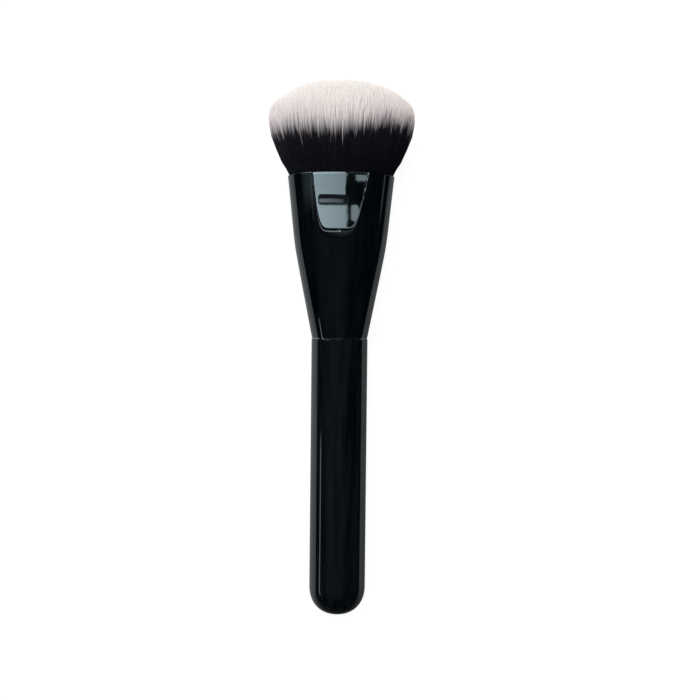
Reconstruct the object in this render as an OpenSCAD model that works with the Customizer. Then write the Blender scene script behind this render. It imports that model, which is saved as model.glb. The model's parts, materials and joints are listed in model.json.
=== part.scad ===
// Kabuki makeup brush: a lacquered wooden handle, a pressed ferrule and a dense two-tone tuft.
// Each piece is drawn upright, with its axis on Z and the end of the handle at zero,
// and is then laid on the table as the whole brush rests: on the handle's end and on the tuft.
// Lengths are in millimetres, angles in degrees.

/* [Handle] */
// Diameter of the handle's straight part
handle_d = 15.64; // [15.6:0.02:15.8]
// Length from the rounded end to the ferrule's lower edge
handle_len = 77.9; // [70:0.1:90]
// Length of the rounded end
butt_len = 8.96; // [6:0.02:12]
// Diameter of the tenon that goes into the ferrule
tenon_d = 13.4; // [10:0.1:13.8]
// Length of the tenon
tenon_len = 16; // [8:0.5:20]

/* [Ferrule] */
// Length from the lower edge to the mouth
ferrule_len = 46; // [44:0.1:48]
// Outer diameter of the round lower end
neck_d = 15.34; // [15.2:0.02:15.5]
// Width of the mouth
mouth_w = 29.7; // [28:0.1:31]
// Thickness that the mouth would have without its pressed flats
mouth_t = 19.8; // [19:0.02:20.4]
// Thickness across the two pressed flats
flats_t = 16.8; // [16.4:0.1:17.2]
// Width of the flats at the mouth
flats_w = 15.4; // [14:0.1:16]
// Height of the flats' lower edge above the ferrule's lower edge
flats_start = 30.1; // [28:0.1:32]
// How far the mouth's edge dips at its two sides
mouth_dip = 0.8; // [0:0.1:1.2]
// Thickness of the metal
wall = 0.45; // [0.35:0.05:0.6]

/* [Tuft] */
// Length of the longest filament outside the ferrule
tuft_len = 26.1; // [25:0.1:28]
// Depth from the mouth down to the glue
root_depth = 5; // [4.5:0.5:6]
// Rings of strands around the middle strand
strand_rings = 10; // [10:1:11]
// Sideways spread of the outermost strand below the dye line, for each unit of height
spread_w = 0.48; // [0.36:0.01:0.48]
// The same from front to back
spread_t = 0.36; // [0.3:0.01:0.38]
// Share of the spread that is left above the dye line
spread_left = 0.5; // [0.3:0.05:0.6]
// Height above the mouth at which the dark filaments turn pale
dye_line = 10.9; // [9:0.1:12.5]

/* [Glue] */
// Depth of the glue that holds the roots
plug_len = 8; // [5:0.5:10]
// Length of the glue around the tenon
tenon_glue_len = 12; // [6:0.5:14]

/* [Rest] */
// Tilt of the brush as it lies, head end up
rest_tilt = 2.16; // [2.1:0.01:2.2]

/* [Hidden] */
$fn = 96;

// Shared heights and clearances
mouth_z = handle_len + ferrule_len;
crown_z = mouth_z + tuft_len;
root_z = mouth_z - root_depth;
snug = 0.04; // gap between a piece inside the ferrule and the metal
slice_t = 1.5; // thickness of the slice of glue that the strands stand on
segments = 64; // sides of the ferrule and of what fills it

// The ferrule's outline
low_flare = 0.2; // growth of its half width for each unit of height, below the knee
high_flare = 0.11; // the same above the knee
knee_soft = 0.3; // rounding between the two
neck_trim = 0.05; // taken off the neck's half width
belly_power = 1.5; // how soon the thickness grows above the neck, where 1 is evenly
crease_soft = 0.1; // rounding of the pressed flats' edges
corner_power = 5; // squareness of the flats' U-shaped outline
press_ramp = 1.6; // steepness of the flats' lower edge
foot_soft = 0.1; // rounding at the foot of that slope
dip_power = 8; // how suddenly the two sides dip near the mouth
bead_h = 0.1; // how far the rolled lower edge stands out
bead_z = 0.9; // height of the rolled edge's middle
bead_half = 0.9; // half of its height

// The crown's shape: how far the tips drop from the middle to the rim, as a dome with a rounded edge
crown_dome = 8.7;
dome_power = 2.5;
crown_edge = 3.2;
edge_power = 40;

// The strands
squareness = 2.3; // power of the tuft's oval outline, where 2 is an ellipse
tuft_gap = 0.1; // gap between the tuft and the metal at the mouth
strand_fill = 0.86; // share of its cell that a strand takes
tip_fill = 0.62; // the same at its tip
dye_scatter = 1.1;
tip_scatter = 0.3;

function mix(a, b, t) = a + (b - a) * t;
function soft_min(a, b, k) = (a + b - sqrt((a - b) * (a - b) + k * k)) / 2;
function soft_max(a, b, k) = -soft_min(-a, -b, k);
function signed_power(v, p) = sign(v) * pow(abs(v), p);

// Puts an upright piece where it is when the brush lies on the table
module laid() {
    butt_sag = norm([handle_d / 2 * cos(rest_tilt), butt_len * sin(rest_tilt)]);
    translate([0, -crown_z * cos(rest_tilt) / 2, butt_sag - butt_len * sin(rest_tilt)])
        rotate([rest_tilt - 90, 0, 0])
            children();
}

// Skins a stack of rings that all have the same number of points, as a solid with two ends
// or, if ringed, as a hollow body whose last ring joins its first
module skin(rings, ringed = false) {
    n = len(rings[0]);
    rows = len(rings);
    last = ringed ? rows - 1 : rows - 2;
    sides = [
        for (i = [0:last], j = [0:n - 1])
            let (
                here = i * n + j,
                beside = i * n + (j + 1) % n,
                above = ((i + 1) % rows) * n + j,
                beyond = ((i + 1) % rows) * n + (j + 1) % n
            )
            each [[here, above, beside], [beside, above, beyond]]
    ];
    ends = ringed ? [] : [
        [for (j = [0:n - 1]) j],
        [for (j = [n - 1:-1:0]) (rows - 1) * n + j]
    ];
    polyhedron(points = [for (r = rings) each r], faces = concat(sides, ends), convexity = 6);
}

// Half width and half thickness at a height above the ferrule's lower edge
function ferrule_half_w(z) = soft_min(
    neck_d / 2 - neck_trim + low_flare * z,
    mouth_w / 2 - high_flare * (ferrule_len - z),
    knee_soft
);
function ferrule_half_t(z) = mix(mouth_t / 2, neck_d / 2, pow(1 - z / ferrule_len, belly_power));

// The flats' U-shaped outline, as the height of its edge at a distance from the middle,
// and the surface that the press leaves, which climbs outside that edge
function flat_edge(x) =
    let (across = min(1, 2 * abs(x) / flats_w))
    mix(ferrule_len, flats_start, sqrt(1 - pow(across, corner_power)));
function flat_depth(x, z) = flats_t / 2 + soft_max(0, (flat_edge(x) - z) * press_ramp, foot_soft);

// How far the rolled lower edge stands out at a height
function bead(z) = bead_h * sqrt(max(0, 1 - pow((z - bead_z) / bead_half, 2)));

// How far a ring dips at an angle round it, which grows towards the mouth
function dip(z, angle) = mouth_dip * pow(cos(angle), 2) * pow(z / ferrule_len, dip_power);

// One ring of the ferrule's surface, moved inwards by the given amount, and flat unless it dips
function ferrule_ring(z, inset, dips = 1) = [
    for (i = [0:segments - 1])
        let (
            angle = 360 * i / segments,
            grow = bead(z) * (inset > 0 ? 0 : 1) - inset,
            x = (ferrule_half_w(z) + grow) * cos(angle),
            y = (ferrule_half_t(z) + grow) * abs(sin(angle)),
            pressed = soft_min(y, flat_depth(x, z) - inset, crease_soft)
        )
        [x, sign(sin(angle)) * max(0, pressed), handle_len + z - dips * dip(z, angle)]
];

// Rings that fill the inside of the ferrule between two heights on the upright brush
function filling(z_low, z_high, rings) = [
    for (i = [0:rings - 1])
        ferrule_ring(mix(z_low, z_high, i / (rings - 1)) - handle_len, wall + snug, 0)
];

// The wooden handle, with its tenon and two grooves that key the glue
module handle() {
    r = handle_d / 2;
    tenon_r = tenon_d / 2;
    shoulder = 0.2;
    groove = 0.5;
    groove_gap = 5;
    chamfer = 1;
    butt = [for (a = [0:5:90]) [r * sin(a), butt_len * (1 - cos(a))]];
    body = [
        [r, handle_len - shoulder],
        [r - shoulder / 2, handle_len - snug],
        [tenon_r, handle_len - snug]
    ];
    grooves = [
        for (k = [1:2])
            let (z = handle_len + k * groove_gap)
            each [
                [tenon_r, z - groove],
                [tenon_r - groove, z],
                [tenon_r, z + groove]
            ]
    ];
    tip = [
        [tenon_r, handle_len + tenon_len - chamfer],
        [tenon_r - chamfer, handle_len + tenon_len],
        [0, handle_len + tenon_len]
    ];
    color([0.035, 0.037, 0.042])
        rotate_extrude()
            polygon(concat(butt, body, grooves, tip));
}

// The metal ferrule: round below, oval above, with a flat pressed into the front and the back
module ferrule() {
    bead_top = bead_z + bead_half;
    press_low = flats_start - 1.5;
    press_high = flats_start + 2.5;
    rolled = [for (i = [0:6]) mix(0, bead_top, i / 6)];
    cone = [for (i = [1:7]) mix(bead_top, press_low, i / 7)];
    press = [for (i = [1:10]) mix(press_low, press_high, i / 10)];
    mouth = [for (i = [1:7]) mix(press_high, ferrule_len, i / 7)];
    inner = [for (i = [9:-1:0]) mix(0, ferrule_len, i / 9)];
    color([0.03, 0.032, 0.036])
        skin(
            concat(
                [for (z = concat(rolled, cone, press, mouth)) ferrule_ring(z, 0)],
                [for (z = inner) ferrule_ring(z, wall)]
            ),
            ringed = true
        );
}

// Half width and half thickness of the tuft at a height on the upright brush
function above_mouth(z) = min(z - mouth_z, mix(dye_line, z - mouth_z, spread_left));
function tuft_half_w(z) = mouth_w / 2 - wall - tuft_gap + spread_w * above_mouth(z);
function tuft_half_t(z) = flats_t / 2 - wall - tuft_gap + spread_t * above_mouth(z);

// A point of the tuft, from its place across (0 middle, 1 outermost), its direction and its height
function tuft_point(across, angle, z) = [
    tuft_half_w(z) * across * signed_power(cos(angle), 2 / squareness),
    tuft_half_t(z) * across * signed_power(sin(angle), 2 / squareness),
    z
];

// Height of the tips' dome
function crown(across) =
    crown_z - crown_dome * pow(across, dome_power) - crown_edge * pow(across, edge_power);

// Each strand's place: [across, angle, half of its cell across, half of its cell's angle]
cell = 0.5 / (strand_rings + 0.5);
strands = concat(
    [[0, 0, 0, 0]],
    [
        for (k = [1:strand_rings], j = [0:6 * k - 1])
            [2 * cell * k, 60 * (j + 0.5 * (k % 2)) / k, cell, 30 / k]
    ]
);
scatter = rands(-1, 1, 2 * len(strands), 7);

// The four corners of a strand's section, where fill is the share of its cell that it takes
function corners(s, fill) = s[0] == 0
    ? [for (a = [0:90:270]) [cell * fill, a]]
    : [
        [s[0] - s[2] * fill, s[1] - s[3] * fill],
        [s[0] + s[2] * fill, s[1] - s[3] * fill],
        [s[0] + s[2] * fill, s[1] + s[3] * fill],
        [s[0] - s[2] * fill, s[1] + s[3] * fill]
    ];

// Sections of strand number i: on the glue, where its colour changes, and at its tip
function root_section(i) =
    [for (c = corners(strands[i], strand_fill)) tuft_point(c[0], c[1], root_z)];
function dye_section(i) =
    [for (c = corners(strands[i], strand_fill))
        tuft_point(c[0], c[1], mouth_z + dye_line + dye_scatter * scatter[2 * i])];
function tip_section(i) =
    [for (c = corners(strands[i], tip_fill))
        tuft_point(c[0], c[1], crown(c[0]) + tip_scatter * scatter[2 * i + 1])];

// Four-sided prisms, one for each pair of lower and upper sections
module prisms(lower, upper) {
    faces = [
        [0, 1, 2], [0, 2, 3],
        [4, 6, 5], [4, 7, 6],
        for (j = [0:3])
            let (k = (j + 1) % 4)
            each [[j, j + 4, k], [k, j + 4, k + 4]]
    ];
    polyhedron(
        points = [for (i = [0:len(lower) - 1]) each concat(lower[i], upper[i])],
        faces = [for (i = [0:len(lower) - 1], f = faces) [for (v = f) v + 8 * i]],
        convexity = 10
    );
}

// The filaments, as a few hundred strands that stand on a slice of the glue.
// Their tips are scattered, so the tuft is brought to its full height as a whole.
module bristles() {
    numbers = [0:len(strands) - 1];
    low = root_z - slice_t;
    translate([0, 0, low])
        resize([0, 0, crown_z - low])
            translate([0, 0, -low]) {
                color([0.04, 0.038, 0.045]) {
                    prisms([for (i = numbers) root_section(i)], [for (i = numbers) dye_section(i)]);
                    skin(filling(low, root_z, 2));
                }
                color([0.9, 0.86, 0.83])
                    prisms([for (i = numbers) dye_section(i)], [for (i = numbers) tip_section(i)]);
            }
}

// The thread that ties the tuft just above the glue
module tuft_tie() {
    tie_h = 1.4;
    tie_t = 0.5;
    tie_gap = 0.05;
    low = root_z + 0.4;
    high = low + tie_h;
    function ring(z, out) = [
        for (i = [0:segments - 1])
            let (
                angle = 360 * i / segments,
                w = (tuft_half_w(high) + out) * signed_power(cos(angle), 2 / squareness),
                t = (tuft_half_t(high) + out) * signed_power(sin(angle), 2 / squareness)
            )
            [w, t, z]
    ];
    color([0.85, 0.83, 0.78])
        skin([ring(low, tie_t), ring(high, tie_t), ring(high, tie_gap), ring(low, tie_gap)], ringed = true);
}

// The epoxy that holds the roots, below the slice that the strands stand on
module root_glue() {
    color([0.75, 0.68, 0.5])
        skin(filling(root_z - plug_len, root_z - slice_t - 0.01, 5));
}

// The glue between the tenon and the ferrule
module tenon_glue() {
    low = handle_len + 0.6;
    tenon_gap = 0.02;
    color([0.8, 0.74, 0.58])
        difference() {
            skin(filling(low, low + tenon_glue_len, 6));
            translate([0, 0, handle_len])
                cylinder(r = tenon_d / 2 + tenon_gap, h = tenon_len);
        }
}

laid() handle();
laid() ferrule();
laid() bristles();
laid() tuft_tie();
laid() root_glue();
laid() tenon_glue();
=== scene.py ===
import json
import math

import bmesh
import bpy
import numpy as np
from mathutils import Matrix, Vector
from mathutils.kdtree import KDTree


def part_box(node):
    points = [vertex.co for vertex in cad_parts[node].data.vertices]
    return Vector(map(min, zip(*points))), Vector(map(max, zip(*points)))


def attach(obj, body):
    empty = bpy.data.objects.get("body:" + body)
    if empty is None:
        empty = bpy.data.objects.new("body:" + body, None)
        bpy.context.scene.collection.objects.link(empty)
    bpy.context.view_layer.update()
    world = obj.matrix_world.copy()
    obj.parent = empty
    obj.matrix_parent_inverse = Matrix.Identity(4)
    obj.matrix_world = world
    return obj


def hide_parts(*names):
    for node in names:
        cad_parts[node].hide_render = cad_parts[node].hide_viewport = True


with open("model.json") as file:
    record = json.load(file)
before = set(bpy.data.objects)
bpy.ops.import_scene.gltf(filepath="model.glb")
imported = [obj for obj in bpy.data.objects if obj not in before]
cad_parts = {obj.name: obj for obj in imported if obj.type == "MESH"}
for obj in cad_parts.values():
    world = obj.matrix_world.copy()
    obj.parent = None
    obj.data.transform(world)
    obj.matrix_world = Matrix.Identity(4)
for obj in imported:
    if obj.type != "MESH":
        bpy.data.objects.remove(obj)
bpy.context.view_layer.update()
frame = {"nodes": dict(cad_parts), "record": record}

scene = bpy.context.scene
scene.view_settings.view_transform = "Standard"
print("frame loaded:", ", ".join(sorted(frame["nodes"])))

# The brush is drawn upright in millimetres, with its axis on Z, the end of the handle at zero
# and its front towards -Y. layDown then puts it where the frame's brush lies, in metres.
mm = 0.001
grip = next(m for m in frame["record"]["mounts"] if m["name"] == "handle_grip")
headward = -Vector(grip["axis"]).normalized()
gripPoint = Vector(grip["pos_m"])
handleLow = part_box("handle")[0]
buttTip = gripPoint + headward * ((handleLow.y - gripPoint.y) / headward.y)
upward = Vector((1, 0, 0)).cross(headward)
turnDown = Matrix(((1, 0, 0), -upward, headward)).transposed().to_4x4()
layDown = Matrix.Translation(buttTip) @ turnDown @ Matrix.Scale(mm, 4)


def mix(a, b, t):
    return a + (b - a) * t


def softMin(a, b, k):
    return (a + b - math.sqrt((a - b) ** 2 + k * k)) / 2


def softMax(a, b, k):
    return -softMin(-a, -b, k)


def finishPiece(bm, name, material, node):
    bmesh.ops.transform(bm, matrix=layDown, verts=bm.verts)
    bmesh.ops.recalc_face_normals(bm, faces=bm.faces)
    for face in bm.faces:
        face.smooth = True
    mesh = bpy.data.meshes.new(name)
    bm.to_mesh(mesh)
    bm.free()
    mesh.materials.append(material)
    piece = bpy.data.objects.new(name, mesh)
    scene.collection.objects.link(piece)
    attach(piece, "root")
    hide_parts(node)
    print(f"{name}: {len(mesh.polygons)} faces")


# Materials
def newMaterial(name):
    material = bpy.data.materials.new(name)
    material.use_nodes = True
    nodes = material.node_tree.nodes
    nodes.clear()
    shader = nodes.new("ShaderNodeBsdfPrincipled")
    out = nodes.new("ShaderNodeOutputMaterial")
    material.node_tree.links.new(shader.outputs["BSDF"], out.inputs["Surface"])
    return material, nodes, material.node_tree.links, shader


def ramp(nodes, links, source, stops):
    made = nodes.new("ShaderNodeValToRGB")
    band = made.color_ramp
    while len(band.elements) < len(stops):
        band.elements.new(0.5)
    for element, (where, colour) in zip(band.elements, stops):
        element.position = where
        element.color = (*colour, 1)
    links.new(source, made.inputs["Fac"])
    return made.outputs["Color"]


def feed(links, socket, value):
    if isinstance(value, bpy.types.NodeSocket):
        links.new(value, socket)
    else:
        socket.default_value = value


def mapRange(nodes, links, source, ends, results=(0, 1)):
    made = nodes.new("ShaderNodeMapRange")
    labels = ("Value", "From Min", "From Max", "To Min", "To Max")
    for label, value in zip(labels, (source, *ends, *results)):
        feed(links, made.inputs[label], value)
    return made.outputs["Result"]


def maths(nodes, links, operation, first, second):
    made = nodes.new("ShaderNodeMath")
    made.operation = operation
    feed(links, made.inputs[0], first)
    feed(links, made.inputs[1], second)
    return made.outputs["Value"]


def vectorMaths(nodes, links, operation, first, label, second):
    made = nodes.new("ShaderNodeVectorMath")
    made.operation = operation
    links.new(first, made.inputs[0])
    feed(links, made.inputs[label], second)
    return made.outputs["Value" if operation == "DOT_PRODUCT" else "Vector"]


def blend(nodes, links, kind, share, first, second):
    made = nodes.new("ShaderNodeMix")
    made.data_type = kind
    low, high, out = {"RGBA": (6, 7, 2), "FLOAT": (2, 3, 0)}[kind]
    for number, value in ((0, share), (low, first), (high, second)):
        feed(links, made.inputs[number], value)
    return made.outputs[out]


# Effects that several finishes share. Each is a group that reads a stretched noise.
effectLook = {
    "streakDetail": 3, "streakEnds": (0.33, 0.7), "smudgeDetail": 5, "smudgeEnds": (0.3, 0.75),
    "reliefDetail": 1,
}


def noiseGroup(name, detail, inputs, output):
    group = bpy.data.node_groups.new(name, "ShaderNodeTree")
    for label, kind in [("Scale", "NodeSocketFloat"), ("Stretch", "NodeSocketVector")] + inputs:
        group.interface.new_socket(label, in_out="INPUT", socket_type=kind)
    group.interface.new_socket(output[0], in_out="OUTPUT", socket_type=output[1])
    nodes, links = group.nodes, group.links
    given, result = nodes.new("NodeGroupInput"), nodes.new("NodeGroupOutput")
    place = nodes.new("ShaderNodeTexCoord")
    mapping = nodes.new("ShaderNodeMapping")
    noise = nodes.new("ShaderNodeTexNoise")
    noise.inputs["Detail"].default_value = detail
    links.new(place.outputs["Object"], mapping.inputs["Vector"])
    links.new(given.outputs["Stretch"], mapping.inputs["Scale"])
    links.new(mapping.outputs["Vector"], noise.inputs["Vector"])
    links.new(given.outputs["Scale"], noise.inputs["Scale"])
    return group, nodes, links, given, noise.outputs["Fac"], result.inputs[output[0]]


def streakGroup(look):
    colours = [("Dark", "NodeSocketColor"), ("Light", "NodeSocketColor")]
    group, nodes, links, given, noise, result = noiseGroup(
        "fine streaks", look["streakDetail"], colours, ("Color", "NodeSocketColor")
    )
    share = mapRange(nodes, links, noise, look["streakEnds"])
    links.new(blend(nodes, links, "RGBA", share, given.outputs["Dark"], given.outputs["Light"]), result)
    return group


def smudgeGroup(look):
    levels = [("Smooth", "NodeSocketFloat"), ("Smudged", "NodeSocketFloat")]
    group, nodes, links, given, noise, result = noiseGroup(
        "smudges", look["smudgeDetail"], levels, ("Roughness", "NodeSocketFloat")
    )
    finishes = given.outputs["Smooth"], given.outputs["Smudged"]
    links.new(mapRange(nodes, links, noise, look["smudgeEnds"], finishes), result)
    return group


def reliefGroup(look):
    levels = [("Strength", "NodeSocketFloat"), ("Depth", "NodeSocketFloat")]
    group, nodes, links, given, noise, result = noiseGroup(
        "fine relief", look["reliefDetail"], levels, ("Normal", "NodeSocketVector")
    )
    bump = nodes.new("ShaderNodeBump")
    links.new(noise, bump.inputs["Height"])
    links.new(given.outputs["Strength"], bump.inputs["Strength"])
    links.new(given.outputs["Depth"], bump.inputs["Distance"])
    links.new(bump.outputs["Normal"], result)
    return group


streaks, smudges, relief = streakGroup(effectLook), smudgeGroup(effectLook), reliefGroup(effectLook)


def placeGroup(nodes, group, scale, stretch, **values):
    placed = nodes.new("ShaderNodeGroup")
    placed.node_tree = group
    placed.inputs["Scale"].default_value = scale
    placed.inputs["Stretch"].default_value = stretch
    for label, value in values.items():
        placed.inputs[label].default_value = value
    return placed.outputs[0]


def glossBlack(name, look):
    material, nodes, links, shader = newMaterial(name)
    shader.inputs["IOR"].default_value = look["ior"]
    dark, light = (*look["dark"], 1), (*look["light"], 1)
    colour = placeGroup(nodes, streaks, look["streakScale"], look["streakStretch"], Dark=dark, Light=light)
    smooth, smudged = look["smooth"], look["smudged"]
    rough = placeGroup(nodes, smudges, look["smudgeScale"], (1, 1, 1), Smooth=smooth, Smudged=smudged)
    strength, depth = look["peelStrength"], look["peelDepth"]
    normal = placeGroup(nodes, relief, look["peelScale"], look["peelStretch"], Strength=strength, Depth=depth)
    links.new(colour, shader.inputs["Base Color"])
    links.new(rough, shader.inputs["Roughness"])
    links.new(normal, shader.inputs["Normal"])
    return material


lacquerLook = {
    "ior": 1.5, "dark": (0.0004, 0.0010, 0.0018), "light": (0.0030, 0.0042, 0.0050),
    "streakScale": 60, "streakStretch": (12, 0.5, 12),
    "smudgeScale": 90, "smooth": 0.035, "smudged": 0.11,
    "peelScale": 420, "peelStretch": (1, 0.35, 1), "peelStrength": 0.12, "peelDepth": 0.00005,
}
lacquer = glossBlack("black lacquer", lacquerLook)

# The handle: half of its outline is spun round its axis
handleLook = {
    "radius": 7.82, "buttStart": 0.6, "buttLength": 8.1, "buttPower": 2.25, "top": 77.86, "shoulder": 0.08,
    "tenonRadius": 6.7, "tenonTop": 93.9, "tenonChamfer": 1,
    # the tenon's grooves: their depth, and their heights above the top
    "groove": 0.5, "grooves": (5.04, 10.04),
    # the mesh: rings along the side, and how far the outer ones are from the butt and from the top
    "sideRings": (30, 54), "endRings": (0.5, 1), "arcSteps": 20, "turns": 128, "mergeWithin": 0.001,
    # the rounded shoulder's rings: how far in from the side and down from the top, in shoulders
    "shoulderRings": ((0, 1.25), (0, 1), (0.3, 0.3), (1, 0), (1.25, 0)),
}


def turnedHandle(look):
    r, top, tenon, tenonTop = (look[part] for part in ("radius", "top", "tenonRadius", "tenonTop"))
    bm = bmesh.new()
    tip = bm.verts.new((0, 0, -1))
    bmesh.ops.spin(
        bm, geom=[tip], cent=(0, 0, 0), axis=(0, -1, 0), angle=math.pi / 2, steps=look["arcSteps"]
    )
    buttEnd = look["buttStart"] + look["buttLength"]
    for v in bm.verts:
        across, down = (abs(c) ** (2 / look["buttPower"]) for c in (v.co.x, v.co.z))
        v.co = (r * across, 0, buttEnd - look["buttLength"] * down)
    end = max(bm.verts, key=lambda v: v.co.x)
    nearButt, nearTop = look["endRings"]
    outline = [(r, z) for z in (buttEnd + nearButt, *look["sideRings"], top - nearTop)]
    for inward, down in look["shoulderRings"]:
        outline.append((r - inward * look["shoulder"], top - down * look["shoulder"]))
    outline.append((tenon, top))
    groove, chamfer = look["groove"], look["tenonChamfer"]
    for above in look["grooves"]:
        z = top + above
        outline += [(tenon, z - groove), (tenon - groove, z), (tenon, z + groove)]
    outline += [(tenon, tenonTop - chamfer), (tenon - chamfer, tenonTop), (0, tenonTop)]
    for x, z in outline:
        end = bmesh.ops.extrude_vert_indiv(bm, verts=[end])["verts"][0]
        end.co = (x, 0, z)
    bmesh.ops.spin(
        bm, geom=bm.verts[:] + bm.edges[:], cent=(0, 0, 0), axis=(0, 0, 1),
        angle=2 * math.pi, steps=look["turns"], use_merge=True,
    )
    bmesh.ops.remove_doubles(bm, verts=bm.verts, dist=look["mergeWithin"])
    return bm


finishPiece(turnedHandle(handleLook), "lacquered_handle", lacquer, "handle")

# The ferrule: a round tube of rings, which is then pressed to its outline
ferruleLook = {
    "base": 77.9, "length": 46.0, "wall": 0.45,
    "neckWidth": 15.34, "mouthWidth": 29.7, "mouthThickness": 20.1,
    "lowFlare": 0.2, "highFlare": 0.1, "knee": 0.3, "belly": 1.5, "dip": 0.8, "dipPower": 8,
    "flatsThickness": 16.8, "flatsWidth": 15.4, "flatsStart": 30.34, "flatsTaper": 0.26,
    "flatsShift": (0.15, 0.8), "cornerPower": 8, "ramp": 2.4, "foot": 0.06, "crease": 0.02,
    "rollDepth": 0.11, "rollLength": 0.7, "rollEnds": (2, 6), "turnIn": 0.035, "turnedPart": 0.4,
    "lipDepth": 0.07, "lipHeight": 0.32,
    # the mesh: columns, which crowd at the flats' edges, and the rows in each stretch of the wall
    "columns": 512, "crowdedAt": 0.72, "crowding": 0.5, "firstRow": 0.03, "lipZone": 1.5,
    "edgeZone": (-1.2, 0.6), "cornerZone": 7, "outerRows": (6, 4, 22, 26, 52, 14, 3), "rimRows": 6,
    "innerZone": 3, "innerRows": (5, 14, 5),
}


def ferruleHalfWidth(z):
    f = ferruleLook
    return softMin(
        f["neckWidth"] / 2 + f["lowFlare"] * z,
        f["mouthWidth"] / 2 - f["highFlare"] * (f["length"] - z),
        f["knee"],
    )


def ferruleHalfThickness(z):
    f = ferruleLook
    share = max(0, 1 - z / f["length"]) ** f["belly"]
    return mix(f["mouthThickness"] / 2, f["neckWidth"] / 2, share)


# How far a place is below the flats' U-shaped edge, which narrows and leans to the left as it goes down
def belowFlat(x, z):
    f = ferruleLook
    share = min(1, max(0, (f["length"] - z) / (f["length"] - f["flatsStart"])))
    x += mix(*f["flatsShift"], share)
    across = min(1, 2 * abs(x) / f["flatsWidth"] / (1 - f["flatsTaper"] * share))
    return mix(f["length"], f["flatsStart"], math.sqrt(1 - across ** f["cornerPower"])) - z


# The press rolls the metal a little inwards just below that edge
def rolledIn(below, z):
    f = ferruleLook
    low, high = (f["flatsStart"] + end for end in f["rollEnds"])
    share = min(1, max(0, (high - z) / (high - low)))
    return f["rollDepth"] * math.exp(-max(0, below) / f["rollLength"]) * share


def ferrulePoint(angle, z, inset, dips=1):
    f = ferruleLook
    rounded = f["lipDepth"] * (1 - math.sqrt(1 - max(0, 1 - z / f["lipHeight"]) ** 2))
    grow = -inset if inset else -rounded
    x = (ferruleHalfWidth(z) + grow) * math.cos(angle)
    y = (ferruleHalfThickness(z) + grow) * abs(math.sin(angle))
    below = belowFlat(x, z)
    flat = f["flatsThickness"] / 2 + softMax(0, below * f["ramp"], f["foot"]) - inset
    y = softMin(y - rolledIn(below, z), flat, f["crease"])
    y = max(0, y - f["turnIn"] * max(0, 1 - (f["length"] - z) / f["turnedPart"]))
    drop = dips * f["dip"] * math.cos(angle) ** 2 * (z / f["length"]) ** f["dipPower"]
    return Vector((x, math.copysign(y, math.sin(angle)), f["base"] + z - drop))


# A tube of rings, each one unit above the last
def ringTube(columns, rings):
    bm = bmesh.new()
    bmesh.ops.create_circle(bm, segments=columns, radius=1)
    edges = bm.edges[:]
    for number in range(1, rings):
        grown = bmesh.ops.extrude_edge_only(bm, edges=edges)["geom"]
        for v in grown:
            if isinstance(v, bmesh.types.BMVert):
                v.co.z = number
        edges = [e for e in grown if isinstance(e, bmesh.types.BMEdge)]
    return bm


# Rows for one stretch of the wall after another, each with its height and how far in it stands
def wallRows(ends, counts, inset):
    rows = []
    for low, high, count in zip(ends, ends[1:], counts):
        rows += [(mix(low, high, i / count), inset) for i in range(1, count + 1)]
    return rows


# Columns stand closer together where the flats' edges run down the tube
def crowdedAngle(angle):
    f = ferruleLook
    quarter = math.pi / 2
    turns, part = divmod(angle, quarter)
    u = part / quarter if turns % 2 == 0 else 1 - part / quarter
    where, share = f["crowdedAt"], f["crowding"]
    u -= share * (math.sin(2 * math.pi * (u - where)) + math.sin(2 * math.pi * where)) / (2 * math.pi)
    return (turns + (u if turns % 2 == 0 else 1 - u)) * quarter


def pressedFerrule():
    f = ferruleLook
    half = f["wall"] / 2
    low, high = (f["flatsStart"] + end for end in f["edgeZone"])
    turned, top = f["length"] - f["turnedPart"], f["length"] - half
    outer = (f["firstRow"], f["lipHeight"], f["lipZone"], low, high, high + f["cornerZone"], turned, top)
    rows = [(0, half), (0, half / 3), (f["firstRow"], 0)] + wallRows(outer, f["outerRows"], 0)
    for k in range(1, f["rimRows"] + 1):
        turn = math.pi * k / f["rimRows"]
        rows.append((top + half * math.sin(turn), half * (1 - math.cos(turn))))
    rows += wallRows((top, high + f["innerZone"], low, 0), f["innerRows"], f["wall"])
    bm = ringTube(f["columns"], len(rows))
    rims = [e for e in bm.edges if e.is_boundary]
    bmesh.ops.bridge_loops(bm, edges=rims)
    for v in bm.verts:
        z, inset = rows[round(v.co.z)]
        v.co = ferrulePoint(crowdedAngle(math.atan2(v.co.y, v.co.x)), z, inset)
    return bm


coatLook = dict(
    lacquerLook, dark=(0.0002, 0.0007, 0.0014), light=(0.0014, 0.0023, 0.0028),
    streakStretch=(8, 1.5, 8), smooth=0.006, smudged=0.03, peelStrength=0.03,
    bareHeight=0.26, bareFade=0.015, metal=(0.36, 0.37, 0.38), metalRoughness=0.05,
)


# The coat stops just short of the ferrule's cut lower edge, where a thin line of metal is left bare
def bareEdge(material, look):
    nodes, links = material.node_tree.nodes, material.node_tree.links
    shader = nodes["Principled BSDF"]
    where = nodes.new("ShaderNodeTexCoord")
    along = vectorMaths(nodes, links, "DOT_PRODUCT", where.outputs["Object"], 1, headward)
    start = (layDown @ Vector((0, 0, ferruleLook["base"] + look["bareHeight"]))).dot(headward)
    bare = mapRange(nodes, links, along, (start, start + look["bareFade"] * mm), (1, 0))
    links.new(bare, shader.inputs["Metallic"])
    finishes = (("Base Color", "RGBA", (*look["metal"], 1)), ("Roughness", "FLOAT", look["metalRoughness"]))
    for socket, kind, value in finishes:
        coated = shader.inputs[socket].links[0].from_socket
        links.new(blend(nodes, links, kind, bare, coated, value), shader.inputs[socket])


ferruleCoat = glossBlack("gloss coat on aluminium", coatLook)
bareEdge(ferruleCoat, coatLook)
finishPiece(pressedFerrule(), "pressed_ferrule", ferruleCoat, "ferrule")

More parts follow.
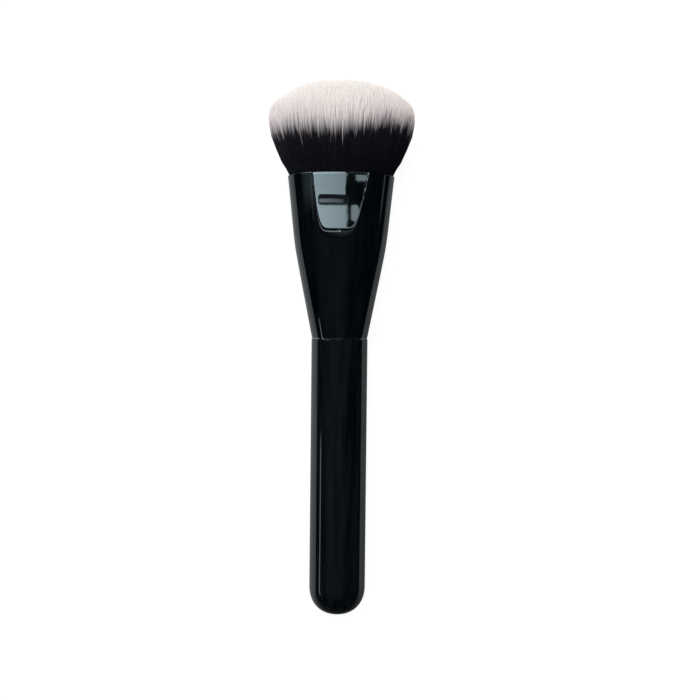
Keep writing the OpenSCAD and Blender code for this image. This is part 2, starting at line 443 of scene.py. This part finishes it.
# The resin that the filaments stand in, and the tuft: thousands of filaments, set round by round
sliceLook = {"thickness": 1.5, "margin": 0.1, "gap": 0.04, "columns": 96}
tuftLook = {
    "mouth": 123.9, "crown": 149.75, "root": 118.9, "gap": 0.1, "bend": 9.2,
    "spreadWidth": 0.449, "spreadThickness": 0.326, "spreadLeft": 0.468, "bulge": 0.9, "bulgeLength": 0.35,
    "squareness": 2.3, "dome": 8.65, "domePower": 2.4, "edge": 3.4, "edgePower": 30,
    "strands": 26000, "sides": 3, "width": 0.075, "tipWidth": 0.03, "tipScatter": 0.7,
    "clumps": 3600, "pull": (0.05, 0.4), "lean": 0.12, "wave": 0.1,
    "dyeMiddle": 11.85, "dyeScatter": 0.95, "clumpDyeScatter": 0.7,
    # how much higher the dye reaches, by the place across the tuft
    "dyeTilt": (
        (-20, -0.5), (-16, -0.4), (-12, -0.1), (-8, -0.1), (-4, -0.4), (0, -0.5),
        (4.4, 0), (8.6, 1.1), (12.8, 1.9), (17, 1.35), (20, 1.3),
    ),
    "strays": 0.012, "strayDrop": (1, 4), "seed": 11, "angleScatter": 0.01, "phases": 6.3,
    # the strands' rings, their lean, wave and taper by height, and their map
    "ringPower": 0.8, "leanPower": 1.5, "waveTurn": 5, "taperFrom": 0.6,
    "lanes": 128, "toneLength": 60, "toneEnds": (0.01, 0.98), "capTone": 0.006,
    # each piece's share of the tuft, from its middle outwards, and its rings
    "pieces": (("bristles_rim", 0.84, 1, 6), ("bristles_middle", 0.5, 0.84, 4), ("bristles_core", 0, 0.5, 3)),
}


# The tuft bulges over the mouth's edge, spreads evenly, and then spreads less
def tuftHalves(z):
    t, f = tuftLook, ferruleLook
    above = z - t["mouth"]
    bulge = t["bulge"] * (1 - np.exp(-np.maximum(0, above + f["dip"]) / t["bulgeLength"]))
    above = np.minimum(above, mix(t["bend"], above, t["spreadLeft"]))
    inside = f["wall"] + t["gap"]
    halfWidth = f["mouthWidth"] / 2 - inside + t["spreadWidth"] * above + bulge
    halfThickness = f["flatsThickness"] / 2 - inside + t["spreadThickness"] * above + bulge
    return halfWidth, halfThickness


def signedPower(v, p):
    return np.sign(v) * np.abs(v) ** p


def tuftPlace(across, angle, z):
    w, h = tuftHalves(z)
    p = 2 / tuftLook["squareness"]
    x = w * across * signedPower(np.cos(angle), p)
    y = h * across * signedPower(np.sin(angle), p)
    return np.stack([x, y, z + 0 * x], -1)


def crownHeight(across):
    t = tuftLook
    return t["crown"] - t["dome"] * across ** t["domePower"] - t["edge"] * across ** t["edgePower"]


def strandTemplate(sides, rings):
    bm = ringTube(sides, rings)
    caps = [e for e in bm.edges if e.is_boundary]
    bmesh.ops.holes_fill(bm, edges=caps, sides=sides)
    bmesh.ops.recalc_face_normals(bm, faces=bm.faces)
    bmesh.ops.triangulate(bm, faces=bm.faces)
    bm.verts.index_update()
    around = np.array([(v.co.x, v.co.y) for v in bm.verts])
    ring = np.array([round(v.co.z) for v in bm.verts])
    corner = np.array([round(sides * math.atan2(v.co.y, v.co.x) / (2 * math.pi)) % sides for v in bm.verts])
    faces = np.array([[v.index for v in f.verts] for f in bm.faces])
    bm.free()
    return around, ring, corner, faces


# One piece of the tuft, made of the strands with the chosen numbers
def strandPiece(name, chosen, rings, material):
    t = tuftLook
    around, ring, corner, faces = strandTemplate(t["sides"], rings)
    across, angle = strands["across"][chosen], strands["angle"][chosen]
    tip = strands["tip"][chosen]
    base = t["root"] - sliceLook["thickness"] + sliceLook["margin"]
    share = np.linspace(0, 1, rings) ** t["ringPower"]
    z = base + (tip[:, None] - base) * share[None, :]
    line = tuftPlace(across[:, None], angle[:, None], z)
    rise = np.clip((z - t["mouth"]) / (t["crown"] - t["mouth"]), 0, 1)
    line[..., :2] += strands["lean"][chosen][:, None, :] * (rise ** t["leanPower"])[..., None]
    wave = strands["wave"][chosen]
    swing = np.sin(wave[:, None, 2:] + t["waveTurn"] * rise[..., None])
    line[..., :2] += wave[:, None, :2] * swing * rise[..., None]
    width = np.interp(share, [0, t["taperFrom"], 1], [t["width"], t["width"], t["tipWidth"]])
    points = line[:, ring, :]
    points[..., :2] += around[None] * width[ring][None, :, None]
    matrix = np.array(layDown)
    points = points.reshape(-1, 3) @ matrix[:3, :3].T + matrix[:3, 3]
    points[:, 2] = np.maximum(points[:, 2], 0)  # the lowest ones lie on the table
    count = len(chosen)
    allFaces = (faces[None] + np.arange(count)[:, None, None] * len(ring)).reshape(-1, 3)
    mesh = bpy.data.meshes.new(name)
    mesh.vertices.add(len(points))
    mesh.vertices.foreach_set("co", points.astype(np.float32).ravel())
    mesh.loops.add(allFaces.size)
    mesh.loops.foreach_set("vertex_index", allFaces.astype(np.int32).ravel())
    mesh.polygons.add(len(allFaces))
    mesh.polygons.foreach_set("loop_start", np.arange(0, allFaces.size, 3, dtype=np.int32))
    mesh.polygons.foreach_set("use_smooth", np.ones(len(allFaces), bool))
    mesh.update(calc_edges=True)
    mesh.validate()
    # The map: tone along the strand, and a lane of its own shade across
    tone = 0.5 + (z - strands["dye"][chosen][:, None]) / t["toneLength"]
    tone = np.clip(tone, *t["toneEnds"])[:, ring]
    isCap = (ring[faces] == ring[faces][:, :1]).all(1)
    toneCorner = tone[:, faces]
    toneCorner[:, isCap, 1] += t["capTone"]
    inLane = (1 + corner[faces][None]) / (1 + t["sides"])
    lane = (strands["lane"][chosen][:, None, None] + inLane) / t["lanes"]
    lane = np.broadcast_to(lane, toneCorner.shape)
    layer = mesh.uv_layers.new(name="OFBake")
    layer.data.foreach_set("uv", np.stack([toneCorner, lane], -1).astype(np.float32).ravel())
    mesh.materials.append(material)
    piece = bpy.data.objects.new(name, mesh)
    scene.collection.objects.link(piece)
    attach(piece, "root")
    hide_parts("bristles")
    print(f"{name}: {count} strands, {len(mesh.polygons)} faces")


def layOutStrands():
    t = tuftLook
    rng = np.random.default_rng(t["seed"])
    n = t["strands"]
    number = np.arange(n) + 0.5
    across = np.sqrt(number / n)
    angle = number * math.pi * (3 - math.sqrt(5)) + rng.normal(0, t["angleScatter"], n)
    tip = crownHeight(across) - np.abs(rng.normal(0, t["tipScatter"], n))
    widest = np.full(n, crownHeight(1.0))
    place = tuftPlace(across, angle, widest)
    clumpAcross = np.sqrt(rng.random(t["clumps"]))
    clumpAngle = rng.random(t["clumps"]) * 2 * math.pi
    centres = tuftPlace(clumpAcross, clumpAngle, widest[:t["clumps"]])
    tree = KDTree(len(centres))
    for index, (x, y, z) in enumerate(centres):
        tree.insert((x, y, 0), index)
    tree.balance()
    nearest = np.array([tree.find((x, y, 0))[1] for x, y, z in place])
    pull = rng.uniform(*t["pull"], t["clumps"])[nearest]
    lean = (centres[nearest, :2] - place[:, :2]) * pull[:, None]
    lean += rng.normal(0, t["lean"], (n, 2))
    dye = t["mouth"] + t["dyeMiddle"] + rng.normal(0, t["dyeScatter"], n)
    clumpScatter = t["clumpDyeScatter"]
    dye += rng.uniform(-clumpScatter, clumpScatter, t["clumps"])[nearest]
    dye += np.interp(place[:, 0], *zip(*t["dyeTilt"]))
    stray = rng.random(n) < t["strays"]
    dye[stray] -= rng.uniform(*t["strayDrop"], stray.sum())
    waveX, waveY = rng.normal(0, t["wave"], n), rng.normal(0, t["wave"], n)
    phase = rng.random(n) * t["phases"]
    return {
        "across": across, "angle": angle, "tip": tip, "lean": lean, "dye": dye,
        "wave": np.stack([waveX, waveY, phase], -1),
        "lane": rng.integers(0, t["lanes"], n),
    }


filamentLook = {
    "roughness": 0.45, "ior": 1.4, "laneShades": (0.84, 1.06),
    # the colour by the place on the map, from the black root to the ivory tip
    "tones": [
        (0.3, (0.0014, 0.0014, 0.0044)), (0.4745, (0.005, 0.0045, 0.0075)),
        (0.481, (0.10, 0.09, 0.10)), (0.4933, (0.22, 0.198, 0.21)), (0.5067, (0.36, 0.325, 0.338)),
        (0.5233, (0.55, 0.495, 0.50)), (0.56, (0.78, 0.712, 0.695)), (0.66, (0.885, 0.835, 0.80)),
    ],
}


def filamentMaterial(look):
    material, nodes, links, shader = newMaterial("dyed filament")
    shader.inputs["Roughness"].default_value = look["roughness"]
    shader.inputs["IOR"].default_value = look["ior"]
    uv = nodes.new("ShaderNodeUVMap")
    uv.uv_map = "OFBake"
    split = nodes.new("ShaderNodeSeparateXYZ")
    links.new(uv.outputs["UV"], split.inputs["Vector"])
    tones = ramp(nodes, links, split.outputs["X"], look["tones"])
    # each lane of the map has a shade of its own
    lane = maths(nodes, links, "MULTIPLY", split.outputs["Y"], tuftLook["lanes"])
    scatter = nodes.new("ShaderNodeTexWhiteNoise")
    scatter.noise_dimensions = "1D"
    links.new(maths(nodes, links, "FLOOR", lane, 0), scatter.inputs["W"])
    shade = mapRange(nodes, links, scatter.outputs["Value"], (0, 1), look["laneShades"])
    links.new(vectorMaths(nodes, links, "SCALE", tones, "Scale", shade), shader.inputs["Base Color"])
    return material


filament = filamentMaterial(filamentLook)
strands = layOutStrands()
for name, innerEnd, outerEnd, rings in tuftLook["pieces"]:
    chosen = (strands["across"] > innerEnd) & (strands["across"] <= outerEnd)
    strandPiece(name, np.flatnonzero(chosen), rings, filament)


def rootSlice(look):
    columns = look["columns"]
    low, high = tuftLook["root"] - look["thickness"], tuftLook["root"]
    bm = ringTube(columns, 2)
    bmesh.ops.holes_fill(bm, edges=[e for e in bm.edges if e.is_boundary], sides=columns)
    for v in bm.verts:
        z = (high if v.co.z > 0.5 else low) - ferruleLook["base"]
        v.co = ferrulePoint(math.atan2(v.co.y, v.co.x), z, ferruleLook["wall"] + look["gap"], 0)
    return bm


innerLooks = {
    "amber resin": {
        "dark": (0.42, 0.33, 0.16), "light": (0.62, 0.52, 0.3), "roughness": 0.2,
        "scale": 300, "stretch": (1, 1, 1),
    },
    "cotton thread": {
        "dark": (0.55, 0.52, 0.45), "light": (0.8, 0.77, 0.7), "roughness": 0.8,
        "scale": 300, "stretch": (1, 14, 1),
    },
    "wood glue": {
        "dark": (0.5, 0.42, 0.28), "light": (0.68, 0.6, 0.44), "roughness": 0.4,
        "scale": 400, "stretch": (1, 1, 1),
    },
}
innerRelief = {"Strength": 0.3, "Depth": 0.0001}


def innerMaterial(name):
    look = innerLooks[name]
    material, nodes, links, shader = newMaterial(name)
    shader.inputs["Roughness"].default_value = look["roughness"]
    dark, light = (*look["dark"], 1), (*look["light"], 1)
    colour = placeGroup(nodes, streaks, look["scale"], look["stretch"], Dark=dark, Light=light)
    normal = placeGroup(nodes, relief, look["scale"], look["stretch"], **innerRelief)
    links.new(colour, shader.inputs["Base Color"])
    links.new(normal, shader.inputs["Normal"])
    return material


resin, thread, woodGlue = (innerMaterial(name) for name in innerLooks)
finishPiece(rootSlice(sliceLook), "bristle_root_slice", resin, "bristles")
for node, material in (("tuft_tie", thread), ("root_glue", resin), ("tenon_glue", woodGlue)):
    cadMesh = frame["nodes"][node].data
    cadMesh.materials.clear()
    cadMesh.materials.append(material)

# The floor
floorLook = {
    "size": 3.0, "drop": 0.0001, "white": 0.92, "reach": 0.1, "tint": (0.93, 1.0, 1.04),
    # the floor's own colour under the soft light, and where the camera sees it
    "colours": (0.8, 0.1),
    # brightness that reflections see, by the distance in millimetres to the left or right of the brush; it is
    # dimmer close to the brush, painted shade that stands in for the brush's shadow on the floor
    "gloss": [
        (-84, 0.0), (-72, 0.69), (-34, 0.68), (-23, 0.58), (-14, 0.4), (0, 0.2),
        (14, 0.16), (23, 0.3), (34, 0.46), (48, 0.48), (62, 0.0),
    ],
    # the same beyond the end of the handle, along the brush
    "glossEnd": (-0.094, -0.074), "glossLeft": 0.1,
}


def paleFloor(look):
    bm = bmesh.new()
    bmesh.ops.create_grid(bm, x_segments=1, y_segments=1, size=look["size"])
    mesh = bpy.data.meshes.new("floor")
    bm.to_mesh(mesh)
    bm.free()
    floor = bpy.data.objects.new("floor", mesh)
    scene.collection.objects.link(floor)
    floor.location.z = -look["drop"]
    material = bpy.data.materials.new("pale floor")
    material.use_nodes = True
    nodes, links = material.node_tree.nodes, material.node_tree.links
    nodes.clear()
    out = nodes.new("ShaderNodeOutputMaterial")
    path = nodes.new("ShaderNodeLightPath")
    diffuse = nodes.new("ShaderNodeBsdfDiffuse")
    glow = nodes.new("ShaderNodeEmission")
    both = nodes.new("ShaderNodeAddShader")
    links.new(diffuse.outputs[0], both.inputs[0])
    links.new(glow.outputs[0], both.inputs[1])
    # diffuse rays meet a pale floor, the camera sees it white, and reflections see the brightness above
    cameraRay, glossyRay, clearRay = (
        path.outputs[kind] for kind in ("Is Camera Ray", "Is Glossy Ray", "Is Transmission Ray")
    )
    seen = maths(nodes, links, "MAXIMUM", cameraRay, clearRay)
    place = nodes.new("ShaderNodeTexCoord")
    split = nodes.new("ShaderNodeSeparateXYZ")
    links.new(place.outputs["Object"], split.inputs[0])
    span = mapRange(nodes, links, split.outputs["X"], (-look["reach"], look["reach"]))
    # painted shade: reflections see the floor dimmer close to the brush, where its shadow would fall
    fall = ramp(nodes, links, span, [
        (0.5 + x * mm / look["reach"] / 2, [shade * c for c in look["tint"]]) for x, shade in look["gloss"]
    ])
    ending = mapRange(nodes, links, split.outputs["Y"], look["glossEnd"], (look["glossLeft"], 1))
    amount = maths(nodes, links, "MULTIPLY", ending, glossyRay)
    gloss = vectorMaths(nodes, links, "SCALE", fall, "Scale", amount)
    white = maths(nodes, links, "MULTIPLY", seen, look["white"])
    links.new(vectorMaths(nodes, links, "ADD", gloss, 1, white), glow.inputs["Color"])
    dim = nodes.new("ShaderNodeMath")
    dim.operation = "SUBTRACT"
    dim.use_clamp = True
    links.new(mapRange(nodes, links, seen, (0, 1), look["colours"]), dim.inputs[0])
    links.new(glossyRay, dim.inputs[1])
    links.new(dim.outputs[0], diffuse.inputs["Color"])
    clear = nodes.new("ShaderNodeBsdfTransparent")
    side = nodes.new("ShaderNodeNewGeometry")
    choose = nodes.new("ShaderNodeMixShader")
    links.new(side.outputs["Backfacing"], choose.inputs[0])
    links.new(both.outputs[0], choose.inputs[1])
    links.new(clear.outputs[0], choose.inputs[2])
    links.new(choose.outputs[0], out.inputs["Surface"])
    mesh.materials.append(material)


paleFloor(floorLook)

# Glowing cards that only reflections see. Each has two opposite corners, a strength, and fades:
# the axis, its two ends and the share of the strength at each. Lengths are in metres.
cardLook = {"colour": (0.73, 0.945, 1.05), "cornerSteps": 4}
windowHeight = 0.42
cards = {
    # the window over the head, with its cross bar and, to the right, smaller panes
    "window": {
        "corners": ((-0.0235, 0.030, windowHeight), (0.0015, 0.079, windowHeight)), "strength": 9.4,
        "fades": (("X", -0.0205, 0, 1, 0.68), ("Y", 0.048, 0.060, 1, 0.84)),
        "rightEdge": (-1.3, 0.4, 0.8, -0.9, -0.2, 1.5),
    },
    "window_bar": {
        "corners": ((-0.0157, 0.0502, windowHeight - 0.002), (0.0015, 0.0563, windowHeight - 0.002)),
        "strength": 0.3, "fades": (("Y", 0.0502, 0.0563, 1.3, 0.4),), "rounding": 0.002,
    },
    "window_bar_core": {
        "corners": ((-0.0148, 0.0516, windowHeight - 0.004), (-0.0015, 0.0536, windowHeight - 0.004)),
        "strength": 3.4, "fades": (("X", -0.0148, -0.002, 1.2, 0.5),), "rounding": 0.0009,
    },
    "between": {
        "corners": ((-0.002, 0.028, windowHeight + 0.002), (0.0159, 0.080, windowHeight + 0.002)),
        "strength": 0.02,
    },
    "pane_far": {
        "corners": ((0.0054, 0.0637, windowHeight), (0.0122, 0.0678, windowHeight)),
        "strength": 4.2, "rounding": 0.0012,
    },
    "pane_near": {
        "corners": ((0.0028, 0.0417, windowHeight), (0.0070, 0.0504, windowHeight)),
        "strength": 4.9, "rounding": 0.0012,
    },
    # the pale wall beside and below the window, which the rolled edges of the flat catch
    "wall_left": {
        "corners": ((-0.22, 0.030, windowHeight), (-0.035, 0.046, windowHeight)), "strength": 5.0,
    },
    "wall_right": {
        "corners": ((0.016, 0.030, windowHeight), (0.16, 0.046, windowHeight)), "strength": 0.8,
    },
    "frame_right": {
        "corners": ((0.016, 0.0461, windowHeight), (0.030, 0.079, windowHeight)), "strength": 0.3,
    },
    "sill": {
        "corners": ((-0.22, -0.002, windowHeight), (0.18, 0.0299, windowHeight)), "strength": 0.7,
        "fades": (("Y", 0.0, 0.030, 0.05, 1), ("X", -0.22, -0.08, 0, 1), ("X", 0.05, 0.18, 1, 0)),
    },
    # what the mouth's edge catches beyond the window
    "head_left": {
        "corners": ((-0.045, 0.0791, windowHeight), (-0.0005, 0.19, windowHeight)), "strength": 10.0,
        "fades": (("X", -0.03, 0, 1.4, 0.7),),
    },
    "head_right": {"corners": ((0.0016, 0.10, windowHeight), (0.024, 0.19, windowHeight)), "strength": 0.9},
    "far_left": {"corners": ((-0.30, 0.151, 0.06), (-0.30, 0.40, 0.36)), "strength": 7.0},
    # soft light at the left of the head, brighter along its upper edge, and a thin line low at its right
    "left": {
        "corners": ((-0.30, 0.01, 0.07), (-0.30, 0.15, 0.236)), "strength": 0.45,
        "fades": (("Y", 0.017, 0.034, 0, 1), ("Z", 0.08, 0.175, 0.05, 1)),
    },
    "left_edge": {
        "corners": ((-0.30, 0.01, 0.2361), (-0.30, 0.15, 0.27)), "strength": 0.9,
        "fades": (("Y", 0.017, 0.034, 0.3, 1),),
    },
    "right": {
        "corners": ((0.30, 0.012, 0.012), (0.30, 0.15, 0.036)), "strength": 0.7,
        "fades": (("Y", 0.016, 0.030, 0, 1),),
    },
    # a thin line low at the left, by the joint
    "joint_left": {
        "corners": ((-0.30, -0.20, 0.068), (-0.30, -0.0562, 0.088)), "strength": 2.1,
        "fades": (("Y", -0.064, -0.0562, 1.3, 0.75),),
    },
}


def glowMaterial(name, look):
    material = bpy.data.materials.new(name)
    material.use_nodes = True
    nodes, links = material.node_tree.nodes, material.node_tree.links
    nodes.clear()
    glow = nodes.new("ShaderNodeEmission")
    glow.inputs["Color"].default_value = (*cardLook["colour"], 1)
    where = nodes.new("ShaderNodeTexCoord")
    split = nodes.new("ShaderNodeSeparateXYZ")
    links.new(where.outputs["Object"], split.inputs["Vector"])
    strength = look["strength"]
    for axis, low, high, atLow, atHigh in look.get("fades", ()):
        fade = mapRange(nodes, links, split.outputs[axis], (low, high), (atLow, atHigh))
        strength = maths(nodes, links, "MULTIPLY", fade, strength)
    feed(links, glow.inputs["Strength"], strength)
    out = nodes.new("ShaderNodeOutputMaterial")
    links.new(glow.outputs["Emission"], out.inputs["Surface"])
    return material


def glowCard(name, look):
    low, high = (Vector(corner) for corner in look["corners"])
    wavy = look.get("rightEdge", (0, 0))
    flat = min(range(3), key=lambda axis: high[axis] - low[axis])
    first, second = (axis for axis in range(3) if axis != flat)
    bm = bmesh.new()
    bmesh.ops.create_grid(bm, x_segments=1, y_segments=len(wavy) - 1, size=0.5)
    for v in bm.verts:
        right, far = v.co.x + 0.5, v.co.y + 0.5
        v.co[flat] = low[flat]
        v.co[first] = mix(low[first], high[first], right)
        v.co[second] = mix(low[second], high[second], far)
        if right > 0.5 and "rightEdge" in look:
            v.co[first] = wavy[round(far * (len(wavy) - 1))] * mm
    if "rounding" in look:
        bmesh.ops.bevel(
            bm, geom=bm.verts[:], offset=look["rounding"], affect="VERTICES",
            segments=cardLook["cornerSteps"], profile=0.5, material=-1,
        )
    mesh = bpy.data.meshes.new(name)
    bm.to_mesh(mesh)
    bm.free()
    mesh.materials.append(glowMaterial(name, look))
    card = bpy.data.objects.new(name, mesh)
    scene.collection.objects.link(card)
    card.visible_camera = False
    card.visible_diffuse = False
    card.visible_shadow = False
    card.visible_transmission = False


for name, look in cards.items():
    glowCard("card_" + name, look)
print(f"{len(cards)} cards for the reflections")

# The world: white to the camera, soft light for the object, and a dark studio in reflections
worldLook = {
    "light": 0.72, "zenith": (0.075, 0.075, 0.08), "dark": (0.006, 0.008, 0.009),
    "glowFrom": (-0.33, 0.0, 1.0), "glowEnds": (0.64, 0.95),
}


def studioWorld(look):
    world = bpy.data.worlds.new("studio")
    scene.world = world
    world.use_nodes = True
    nodes, links = world.node_tree.nodes, world.node_tree.links
    nodes.clear()
    out = nodes.new("ShaderNodeOutputWorld")
    path = nodes.new("ShaderNodeLightPath")
    place = nodes.new("ShaderNodeTexCoord")
    aim = Vector(look["glowFrom"]).normalized()
    towards = vectorMaths(nodes, links, "DOT_PRODUCT", place.outputs["Generated"], 1, aim)
    low, high = look["glowEnds"]
    sky = ramp(nodes, links, towards, [(low, look["dark"]), (high, look["zenith"])])
    dark, soft, white = (nodes.new("ShaderNodeBackground") for _ in range(3))
    links.new(sky, dark.inputs["Color"])
    soft.inputs["Strength"].default_value = look["light"]
    for ground in (soft, white):
        ground.inputs["Color"].default_value = (1, 1, 1, 1)
    seen = maths(nodes, links, "MAXIMUM", path.outputs["Is Camera Ray"], path.outputs["Is Transmission Ray"])
    shown = soft.outputs[0]
    for share, ground in ((path.outputs["Is Glossy Ray"], dark), (seen, white)):
        choose = nodes.new("ShaderNodeMixShader")
        links.new(share, choose.inputs[0])
        links.new(shown, choose.inputs[1])
        links.new(ground.outputs[0], choose.inputs[2])
        shown = choose.outputs[0]
    links.new(shown, out.inputs["Surface"])


studioWorld(worldLook)

keyLook = {"place": (-0.12, 0.32, 0.72), "aim": (0, 0.03, 0.01), "size": 0.5, "power": 6.0}
keyData = bpy.data.lights.new("key", "AREA")
keyData.shape = "SQUARE"
keyData.size = keyLook["size"]
keyData.energy = keyLook["power"]
key = bpy.data.objects.new("key", keyData)
scene.collection.objects.link(key)
key.location = keyLook["place"]
key.rotation_mode = "QUATERNION"
key.rotation_quaternion = (Vector(keyLook["aim"]) - key.location).to_track_quat("-Z", "Y")
key.visible_glossy = False
key.visible_camera = False

# The camera looks straight down on the brush
cameraLook = {"x": 0.00295, "y": -0.00018, "height": 0.4015, "lens": 72, "sensor": 36, "roll": 0.6}
cameraData = bpy.data.cameras.new("camera")
cameraData.lens = cameraLook["lens"]
cameraData.sensor_width = cameraLook["sensor"]
camera = bpy.data.objects.new("camera", cameraData)
scene.collection.objects.link(camera)
camera.location = (cameraLook["x"], cameraLook["y"], cameraLook["height"])
camera.rotation_euler = (0, 0, math.radians(cameraLook["roll"]))
scene.camera = camera
print("stage, lights and camera ready")
